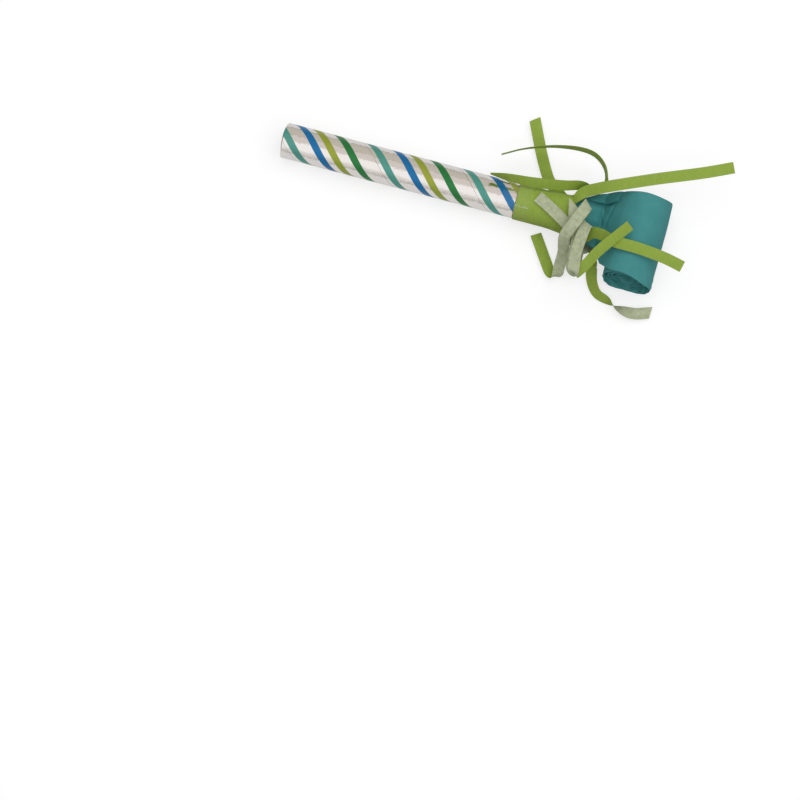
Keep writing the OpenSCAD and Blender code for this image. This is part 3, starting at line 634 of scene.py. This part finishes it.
FLOOR_Z, FLOOR_HALF = -0.00685, 3
FLOOR_GLOW, MIRRORED_GLOW, ROOM_LEVEL = 0.68, 0.4, 0.46
floor_mesh = bpy.data.meshes.new("floor")
corners = [(x * FLOOR_HALF, y * FLOOR_HALF, FLOOR_Z) for x, y in ((-1, -1), (1, -1), (1, 1), (-1, 1))]
floor_mesh.from_pydata(corners, [], [(0, 1, 2, 3)])
floor = bpy.data.objects.new("floor", floor_mesh)
bpy.context.scene.collection.objects.link(floor)
white, tree, shader = finish_named("white_paper_floor")
shader.inputs["Base Color"].default_value = linear("#a4a4a4")
shader.inputs["Roughness"].default_value = 1.0
shader.inputs["Specular IOR Level"].default_value = 0.0
seen = node(tree, "LightPath")
shiny = node(tree, "Math", {0: seen.outputs["Is Glossy Ray"], 1: seen.outputs["Is Transmission Ray"]},
             operation="MAXIMUM")
dimmed = node(tree, "Math", {0: shiny.outputs[0], 1: MIRRORED_GLOW}, operation="MULTIPLY")
lifted = node(tree, "Math", {0: seen.outputs["Is Camera Ray"], 1: FLOOR_GLOW, 2: dimmed.outputs[0]},
              operation="MULTIPLY_ADD")
shader.inputs["Emission Color"].default_value = (1, 1, 1, 1)
tree.links.new(lifted.outputs[0], shader.inputs["Emission Strength"])
floor_mesh.materials.append(white)

# The lamp lights the pieces but stays out of their reflections, where the room below takes its place
lamp = bpy.data.lights.new("soft_panel", "AREA")
lamp.shape = "RECTANGLE"
lamp.size, lamp.size_y = 1.7, 1.3
lamp.energy = 9.0
panel = bpy.data.objects.new("soft_panel", lamp)
bpy.context.scene.collection.objects.link(panel)
panel.location = (0.25, 0.05, 1.12)
panel.visible_glossy = False
lit = Vector((0.1, 0, 0))
panel.rotation_mode = "QUATERNION"
panel.rotation_quaternion = (panel.location - lit).to_track_quat("Z", "Y")

world = bpy.data.worlds.new("studio")
bpy.context.scene.world = world
world.use_nodes = True
tree = world.node_tree
way = node(tree, "SeparateXYZ", {"Vector": node(tree, "TexCoord").outputs["Generated"]})
# In shiny pieces the room shows a white strip overhead, warm grey on both sides of it, and dark low down
across = node(tree, "MapRange", {"Value": way.outputs["Y"], "From Min": -1.0})
room = node(tree, "ValToRGB", {"Fac": across.outputs[0]})
walls = room.color_ramp
walls.elements[0].color = (0.62, 0.6, 0.57, 1)
walls.elements[1].color = (0.54, 0.52, 0.46, 1)
for place, tone in ((0.12, (1, 1, 1, 1)), (0.42, (1, 1, 1, 1)), (0.47, (0.72, 0.68, 0.65, 1)),
                    (0.775, (0.7, 0.66, 0.63, 1)), (0.785, (0.34, 0.32, 0.3, 1)), (0.81, (0.59, 0.57, 0.5, 1))):
    walls.elements.new(place).color = tone
low = node(tree, "MapRange", {"Value": way.outputs["Z"], "From Min": 0.0, "From Max": 0.07, "To Min": 0.1},
           interpolation_type="SMOOTHSTEP")
left = node(tree, "MapRange", {"Value": way.outputs["X"], "From Min": -0.6, "From Max": -0.2, "To Min": 0.2},
            interpolation_type="SMOOTHSTEP")
dark = node(tree, "Math", {0: low.outputs[0], 1: left.outputs[0]}, operation="MULTIPLY")
mirrored = node(tree, "Mix", {0: 1.0, 6: room.outputs["Color"], 7: dark.outputs[0]}, data_type="RGBA",
                blend_type="MULTIPLY")
seen = node(tree, "LightPath")
shiny = node(tree, "Math", {0: seen.outputs["Is Glossy Ray"], 1: seen.outputs["Is Transmission Ray"]},
             operation="MAXIMUM")
shown = node(tree, "Math", {0: seen.outputs["Is Camera Ray"], 1: shiny.outputs[0]}, operation="MAXIMUM")
tone = node(tree, "Mix", {0: shiny.outputs[0], 6: (1, 1, 1, 1), 7: mirrored.outputs[2]}, data_type="RGBA")
level = node(tree, "Mix", {0: shown.outputs[0], 2: ROOM_LEVEL, 3: 1.0})
tree.links.new(tone.outputs[2], tree.nodes["Background"].inputs["Color"])
tree.links.new(level.outputs[0], tree.nodes["Background"].inputs["Strength"])

# The camera stands 1.6 m off, high over the near side, and keeps the blowout in the upper right of the frame
view = bpy.data.cameras.new("view")
view.lens, view.sensor_width = 200.77, 36
camera = bpy.data.objects.new("view", view)
bpy.context.scene.collection.objects.link(camera)
camera.location = (0.15674, -0.417, 1.56193)
aim = Vector((0.0654, -0.0823, 0))
camera.rotation_mode = "QUATERNION"
camera.rotation_quaternion = (camera.location - aim).to_track_quat("Z", "Y")
bpy.context.scene.camera = camera
bpy.context.scene.view_settings.view_transform = "Standard"
